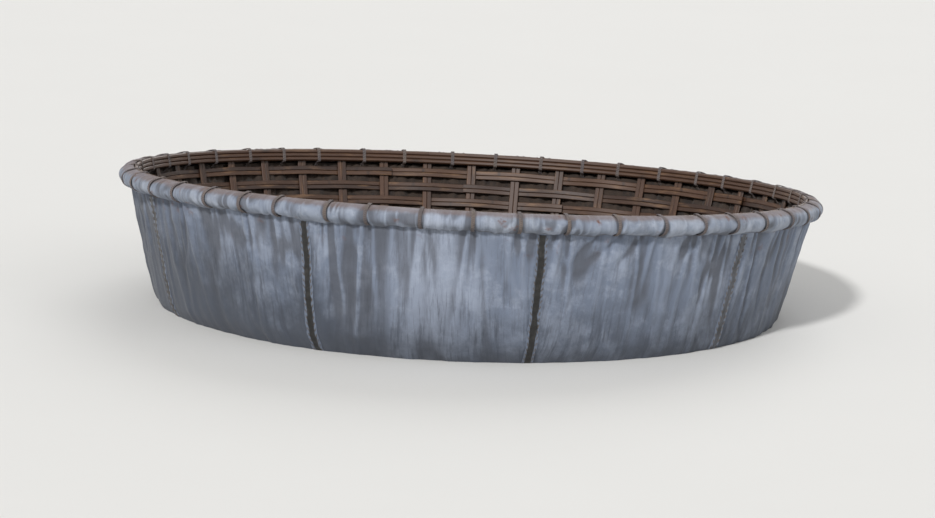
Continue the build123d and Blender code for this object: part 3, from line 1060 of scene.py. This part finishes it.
class CORACLE_OT_lashings(bpy.types.Operator):
    """Cord lashings over the rim, three turns to each"""

    bl_idname = "coracle.lashings"
    bl_label = "Lashings"

    def execute(self, context):
        hull, skin, basket = settings(context)[:3]
        diameter, turns, steps = 4.2 * MM, 3, 46
        loop = np.array([
            (-20, 399), (-28, 400), (-33, 404), (-34, 428), (-33.5, 449), (-29, 454),
            (-19, 455.2), (-5, 455.4), (15, 453.4), (31, 446), (40, 434), (42.2, 421),
            (37.5, 405), (25, 393), (12, 385), (3, 384), (-8, 390),
        ]) * MM
        ring = smooth_line(loop, steps + 1, closed=True)[:-1]
        section = np.concatenate([ring] * turns)
        order = np.arange(len(section)) / steps
        share = order - np.floor(order)
        shift = np.floor(order) + part((share - 0.86) / 0.14)
        aside = (shift - (turns - 1) / 2) * (diameter + 0.3 * MM)
        places = hull_round(hull, 0.0, hull.bilge_arc + section[:, 1], section[:, 0])
        places[:, 0] = places[:, 0] * ring_scale(hull) + 1.5 * MM
        places[:, 1] = aside
        model = drawn_line("Lashing", places)
        model.data.bevel_depth = diameter / 2
        model.data.bevel_resolution = 1
        model.data.use_fill_caps = True
        activate(model)
        bpy.ops.object.convert(target="MESH")
        model = context.object
        size_map(model.data, "Lay", (line_length(places), 1))
        smooth(model, radians(60))
        copies = [copy_turned(model, angle) for angle in lash_angles(hull, skin)]
        remove([model])
        lashing = join(copies, "lashing_cords")
        material = twisted_cord("Two-strand fibre cord, faded", basket.cord, CORD_DIRT_AND_SHADE, 14 * MM)
        set_finish(lashing, material, "cord", "rim_lashings")
        return {"FINISHED"}


class CORACLE_OT_roll(bpy.types.Operator):
    """Roll of seven canes outside the rib tops"""

    bl_idname = "coracle.roll"
    bl_label = "Cane roll"

    def execute(self, context):
        hull, basket = settings(context)[::2]
        draw = np.random.default_rng(basket.seed + 80)
        middle_out, middle_up, cane = 11.6 * MM, 423.4 * MM, 7 * MM
        canes = []
        for place in range(7):
            turn = place * pi / 3
            reach = 0 if place == 6 else 2 * cane + 0.5 * MM
            out, up = middle_out + reach * cos(turn), middle_up + reach * sin(turn)
            ring = hull_round(hull, 0.0, hull.bilge_arc + up, out)
            bpy.ops.object.select_all(action="DESELECT")
            bpy.ops.mesh.primitive_torus_add(
                major_radius=ring[0] * ring_scale(hull), minor_radius=cane,
                major_segments=135, minor_segments=8, location=(0, 0, ring[2]),
            )
            piece = context.object
            bpy.ops.object.transform_apply(location=True, rotation=False, scale=False)
            size_map(piece.data, "Grain", (2 * pi * ring[0], 2 * pi * cane))
            mark_points(piece.data, "tone", np.full(len(piece.data.vertices), draw.uniform(0.2, 1)))
            mark_points(piece.data, "knot", np.zeros(len(piece.data.vertices)))
            canes.append(piece)
        roll = join(canes, "cane_roll")
        smooth(roll, radians(80))
        material = split_bamboo("Whole cane, smoked", basket.bamboo, basket.dark, basket.pale)
        set_finish(roll, material, "cane_bundle", "rim_roll")
        return {"FINISHED"}


def ring_line(hull, along, outward, bays, start=0.0, tail=0.0):
    """Line round the hull at one height, over a number of bays and a tail at each end."""
    ends = tail / hull_radius(hull, along)
    angle = np.linspace(-ends, bays * hull.rib_pitch + ends, bays * 6 + 1) + start
    points = hull_round(hull, angle, along, outward)
    points[:, :2] *= ring_scale(hull)
    return points


def lean_at(hull, along):
    """Lean of the hull's side from upright, so far up its outline."""
    return pi / 2 - min(along / hull.bilge_radius, hull.bend)


class CORACLE_OT_hoops(bpy.types.Operator):
    """Hoops inside the ribs: three splits at the rim and two at the bilge"""

    bl_idname = "coracle.hoops"
    bl_label = "Hoops"

    def execute(self, context):
        hull, basket = settings(context)[::2]
        draw = np.random.default_rng(basket.seed + 50)
        material = split_bamboo("Split bamboo, hoop", *HOOP_BAMBOO)
        # Each hoop's name and node, its lower and upper edge above the bilge, its splits, their
        # thickness and its lengths round the hull
        hoops = [
            ("rim_hoop_splits", "rim_hoop_inner", 404 * MM, 450 * MM, 3, 12 * MM, 1),
            ("bilge_hoop_splits", "bilge_hoop", 8 * MM, 42 * MM, 2, 9 * MM, 9),
        ]
        depth = 19.24 * MM
        for name, cad_name, low, high, count, thickness, lengths in hoops:
            pieces = []
            height = (high - low) / count
            bays = hull.rib_count // lengths
            for split in range(count):
                along = hull.bilge_arc + low + (split + 0.5) * height
                line = ring_line(hull, along, -depth - thickness / 2, bays, tail=-1.0 * MM)
                # The butts of the splits of an open ring lie some bays apart
                apart = 11 * split * (lengths == 1)
                turns = hull.first_seam + (np.arange(lengths) * bays + apart) * hull.rib_pitch
                size = (thickness, height - basket.split_gap)
                pieces += bent_splits(line, size, 48 * MM, lean_at(hull, along), turns, draw)
            set_finish(join(pieces, name), material, "hoop_bamboo", cad_name)
        return {"FINISHED"}


class CORACLE_OT_ribs(bpy.types.Operator):
    """Ribs: two splits side by side, bent from the floor up to the rim"""

    bl_idname = "coracle.ribs"
    bl_label = "Ribs"

    def execute(self, context):
        hull, basket = settings(context)[::2]
        draw = np.random.default_rng(basket.seed + 10)
        along = np.concatenate([[-0.143, -0.1, -0.05, -0.02], np.linspace(0.0, hull.top, 60)])
        floor_depth, wall_depth, eased = 16.9 * MM, 15.94 * MM, 50 * MM
        depth = np.interp(along, [0, eased], [floor_depth, wall_depth])
        side = hull_round(hull, 0.0, along, -depth)
        line = np.stack([side[:, 0], side[:, 2], np.zeros(len(side))], -1)
        width, thickness = 17 * MM, 6 * MM
        models = bent_splits(line, (thickness, width), 26 * MM, 0.0, [pi / 2] * 4, draw, "X")
        material = split_bamboo("Split bamboo, rib", basket.bamboo, basket.dark, basket.pale)
        for gore in range(hull.gore_count):
            pieces = []
            for place in range(hull.ribs_per_gore):
                angle = hull.first_seam + (gore * hull.ribs_per_gore + place) * hull.rib_pitch
                for hand in (-1, 1):
                    piece = copy_turned(models[int(draw.integers(4))], 0.0, draw.uniform(0, 1))
                    piece.data.transform(Matrix.Translation((0, hand * (width + basket.split_gap) / 2, 0)))
                    turn_piece(piece, angle)
                    pieces.append(piece)
            name = f"rib_splits_{gore + 1}"
            set_finish(join(pieces, name), material, "split_bamboo", f"ribs_{gore + 1}")
        remove(models)
        return {"FINISHED"}


class CORACLE_OT_weavers(bpy.types.Operator):
    """Weavers: rows of paired splits that pass out and in past the ribs"""

    bl_idname = "coracle.weavers"
    bl_label = "Weavers"

    def execute(self, context):
        hull, basket = settings(context)[::2]
        draw = np.random.default_rng(basket.seed + 20)
        width, thickness, tail = 16 * MM, 6 * MM, 30 * MM
        outside, inwards = 6.3 * MM, 17.24 * MM
        bays = hull.rib_count // basket.weaver_lengths
        material = split_bamboo("Split bamboo, woven", WOVEN_BARK, basket.dark, basket.pale)
        for row, middle in enumerate(row_alongs(hull)):
            pieces = []
            start = hull.first_seam + row * basket.lap_step * hull.rib_pitch
            for hand in (-1, 1):
                along = middle + hand * (width + basket.split_gap) / 2
                ends = tail / hull_radius(hull, along)
                angle = np.linspace(-ends, bays * hull.rib_pitch + ends, bays * 14 + 1)
                swing = 0.5 - 0.5 * np.cos(pi * (angle / hull.rib_pitch + row))
                line = hull_round(hull, angle, along, -outside - inwards * swing)
                line[:, :2] *= ring_scale(hull)
                turns = start + np.arange(basket.weaver_lengths) * bays * hull.rib_pitch
                lean = lean_at(hull, along)
                pieces += bent_splits(line, (thickness, width), 24 * MM, lean, turns, draw)
            name = f"weaver_splits_{row + 1}"
            set_finish(join(pieces, name), material, "woven_bamboo", f"weaver_{row + 1}")
        return {"FINISHED"}


class CORACLE_OT_floor_slats(bpy.types.Operator):
    """Floor: three families of slats, each over the next and under the third"""

    bl_idname = "coracle.floor_slats"
    bl_label = "Floor slats"

    def execute(self, context):
        hull, basket = settings(context)[::2]
        draw = np.random.default_rng(basket.seed + 30)
        radius = hull.bottom_radius - hull.floor_edge
        spacing, slat, rise, middle = 220 * MM, 54 * MM, 2.65 * MM, 8.45 * MM
        turn = radians(12)
        rows = [(row + 0.5) * spacing * side for row in range(4) for side in (-1, 1)]
        width, thickness = 17 * MM, 4.6 * MM
        pieces = [[], [], []]
        for offset in rows:
            half = float(np.sqrt(radius**2 - (abs(offset) + slat / 2) ** 2))
            crossings = sorted(
                ((offset * cos(across) - other) / sin(across), level)
                for across, level in ((radians(60), rise), (radians(120), -rise))
                for other in rows
            )
            spots, levels = np.array(crossings).T
            x = np.linspace(-half, half, int(half / (18 * MM)))
            after = np.clip(np.searchsorted(spots, x), 1, len(spots) - 1)
            share = part((x - spots[after - 1]) / (spots[after] - spots[after - 1]))
            share = ease(part((share - 0.25) / 0.5))
            level = levels[after - 1] * (1 - share) + levels[after] * share
            line = np.stack([x, middle + level, np.zeros(len(x))], -1)
            for place in (-1, 0, 1):
                [model] = bent_splits(line, (thickness, width), 38 * MM, 0.0, [pi / 2], draw, "X")
                aside = offset + place * (width + basket.split_gap)
                model.data.transform(Matrix.Translation((0, aside, 0)))
                for family in range(3):
                    angle = turn + family * 2 * pi / 3
                    pieces[family].append(copy_turned(model, angle, draw.uniform(0, 1)))
                remove([model])
        material = split_bamboo("Split bamboo, floor", *FLOOR_BAMBOO)
        for family in range(3):
            name = f"slat_splits_{family + 1}"
            set_finish(join(pieces[family], name), material, "floor_bamboo", f"floor_slats_{family + 1}")
        return {"FINISHED"}


class CORACLE_OT_stitches(bpy.types.Operator):
    """Twine stitches down both sides of each seam strip"""

    bl_idname = "coracle.stitches"
    bl_label = "Stitches"

    def execute(self, context):
        hull, skin, basket = settings(context)[:3]
        draw = np.random.default_rng(skin.seed + 70)
        bpy.ops.object.select_all(action="DESELECT")
        bpy.ops.mesh.primitive_cylinder_add(vertices=6, radius=1.3 * MM, depth=13 * MM)
        model = context.object
        model.rotation_euler = (0, pi / 2, 0)
        bpy.ops.object.transform_apply(location=True, rotation=True, scale=False)
        bpy.ops.object.mode_set(mode="EDIT")
        bpy.ops.mesh.select_all(action="SELECT")
        bpy.ops.mesh.subdivide(number_cuts=1)
        bpy.ops.object.mode_set(mode="OBJECT")
        size_map(model.data, "Lay", (1, 1))
        low, high, pitch = 130 * MM, hull.gore_top - 30 * MM, 24 * MM
        lift, half_stitch = 2.6 * MM, 5 * MM
        pieces = []
        along = np.arange(low, high, pitch)
        for seam in range(hull.gore_count):
            for hand in (-1, 1):
                middle = hull.seam(seam)
                across = hand * skin.seam_width * 0.36 + seam_wander(skin, seam, along)
                angle = middle + across / hull_radius(hull, along)
                relief = skin_round(hull, skin, basket, angle, along)
                here = hull_round(hull, angle, along, relief + lift)
                above = hull_round(hull, angle, along + half_stitch, relief + lift)
                for spot, top in zip(here, above):
                    up = Vector(top - spot).normalized()
                    lean = draw.uniform(-0.25, 0.25) + hand * 0.35
                    side = up.cross(Vector((spot[0], spot[1], 0)).normalized()).normalized()
                    run = (up * cos(lean) + side * sin(lean)).normalized()
                    face = run.cross(side).normalized()
                    pieces.append(copy_turned(model, 0.0))
                    pieces[-1].data.transform(frame_of(run, face, run.cross(face), Vector(spot)))
        stitch = join(pieces, "seam_stitches")
        smooth(stitch, radians(60))
        material = twisted_cord("Waxed twine", *TWINE, 5 * MM)
        set_finish(stitch, material, "cord")
        remove([model])
        return {"FINISHED"}


def waterline_frame(stage):
    """Directions of the waterline's plane: to the right, away from the camera and up."""
    up = Vector((-stage.trim_right, -stage.trim_away, 1)).normalized()
    away = (Vector((0, 1, 0)) - up * up.y).normalized()
    return away.cross(up), away, up


class CORACLE_OT_stage(bpy.types.Operator):
    """Pale floor at the waterline, soft light and the photograph's viewing angle"""

    bl_idname = "coracle.stage"
    bl_label = "Stage"

    def execute(self, context):
        scene = context.scene
        hull, skin, basket, stage = settings(context)
        right, away, up = waterline_frame(stage)
        # The floor's inner edge follows the skin where the waterline crosses it, a little inside
        # its surface, so that no gap shows
        count, reach, inset = 900, 60.0, 1.4 * MM
        angle = np.linspace(0, 2 * pi, count, endpoint=False)
        along = np.linspace(0.05, hull.gore_top, 500)[:, None]
        relief = skin_round(hull, skin, basket, angle[None, :] + 0 * along, along + 0 * angle[None, :])
        places = hull_round(hull, angle[None, :], along, relief - inset)
        above = above_waterline(stage, places)
        first = (above > 0).argmax(axis=0)
        column = np.arange(count)
        low, high = above[first - 1, column], above[first, column]
        share = (-low / (high - low))[:, None]
        edge = places[first - 1, column] * (1 - share) + places[first, column] * share
        outer = np.stack([reach * np.cos(angle), reach * np.sin(angle), 0 * angle], -1)
        outer[:, 2] -= above_waterline(stage, outer)
        mesh = bpy.data.meshes.new("water_floor")
        faces = [
            (place, count + place, count + (place + 1) % count, (place + 1) % count)
            for place in range(count)
        ]
        mesh.from_pydata(np.concatenate([edge, outer]).tolist(), [], faces)
        floor = add_object("water_floor", mesh)
        floor.data.materials.append(plain_floor(stage))

        light_level, backdrop = 0.38, 0.54
        scene.world = bpy.data.worlds.new("Soft studio")
        scene.world.use_nodes = True
        tree = scene.world.node_tree
        rays = [add_node(tree, "LightPath", output=kind) for kind in ("Is Camera Ray", "Is Glossy Ray")]
        seen = add_node(tree, "Math", rays, operation="MAXIMUM")
        strength = add_node(tree, "Math", (seen, backdrop, light_level), operation="MULTIPLY_ADD")
        set_inputs(tree.nodes["Background"], {"Color": "FFFFFF", "Strength": strength})

        # Each lamp's side, height, power and softness, its angles in degrees
        lamps = [("Key", -20, 38, 2.4, 6), ("Fill", 60, 30, 0.3, 40), ("Back", 165, 32, 0.9, 40)]
        for name, side, height, power, spread in lamps:
            lamp = bpy.data.lights.new(name, "SUN")
            lamp.energy, lamp.angle = power, radians(spread)
            flat = -away * cos(radians(side)) + right * sin(radians(side))
            toward = flat * cos(radians(height)) + up * sin(radians(height))
            add_object(name, lamp).rotation_euler = toward.to_track_quat("Z", "Y").to_euler()

        camera = bpy.data.cameras.new("Camera")
        camera.lens, camera.sensor_width, camera.clip_end = stage.lens, 36, 300
        scene.camera = add_object("Camera", camera)
        target = Vector((0.0, 0.0, 340 * MM))
        back = -away * cos(stage.camera_height) + up * sin(stage.camera_height)
        level = up.cross(back).normalized()
        top = back.cross(level) * cos(stage.camera_roll) - level * sin(stage.camera_roll)
        place = target + back * stage.camera_distance
        scene.camera.matrix_world = frame_of(top.cross(back), top, back, place)
        scene.view_settings.view_transform = "Standard"
        return {"FINISHED"}


class CORACLE_PT_panel(bpy.types.Panel):
    """Lists the coracle's pieces in the 3D view's sidebar"""

    bl_idname = "CORACLE_PT_panel"
    bl_label = "River coracle"
    bl_space_type = "VIEW_3D"
    bl_region_type = "UI"
    bl_category = "Coracle"

    def draw(self, context):
        for group in settings(context):
            box = self.layout.box()
            for name in group.__annotations__:
                box.prop(group, name)
        for operator in OPERATORS:
            self.layout.operator(operator.bl_idname)


OPERATORS = (
    CORACLE_OT_floor_slats, CORACLE_OT_ribs, CORACLE_OT_weavers, CORACLE_OT_hoops, CORACLE_OT_roll,
    CORACLE_OT_bottom, CORACLE_OT_gores, CORACLE_OT_seams, CORACLE_OT_stitches, CORACLE_OT_lip,
    CORACLE_OT_lashings, CORACLE_OT_stage,
)
SETTINGS = {
    "coracle_hull": CoracleHull, "coracle_skin": CoracleSkin,
    "coracle_basket": CoracleBasket, "coracle_stage": CoracleStage,
}
CLASSES = (*SETTINGS.values(), *OPERATORS, CORACLE_PT_panel)


def register():
    for kind in CLASSES:
        bpy.utils.register_class(kind)
    for name, group in SETTINGS.items():
        setattr(bpy.types.Scene, name, PointerProperty(type=group))


def unregister():
    for name in SETTINGS:
        delattr(bpy.types.Scene, name)
    for kind in reversed(CLASSES):
        bpy.utils.unregister_class(kind)


def main():
    register()
    for operator in OPERATORS:
        group, name = operator.bl_idname.split(".")
        getattr(getattr(bpy.ops, group), name)()


if __name__ == "__main__":
    main()
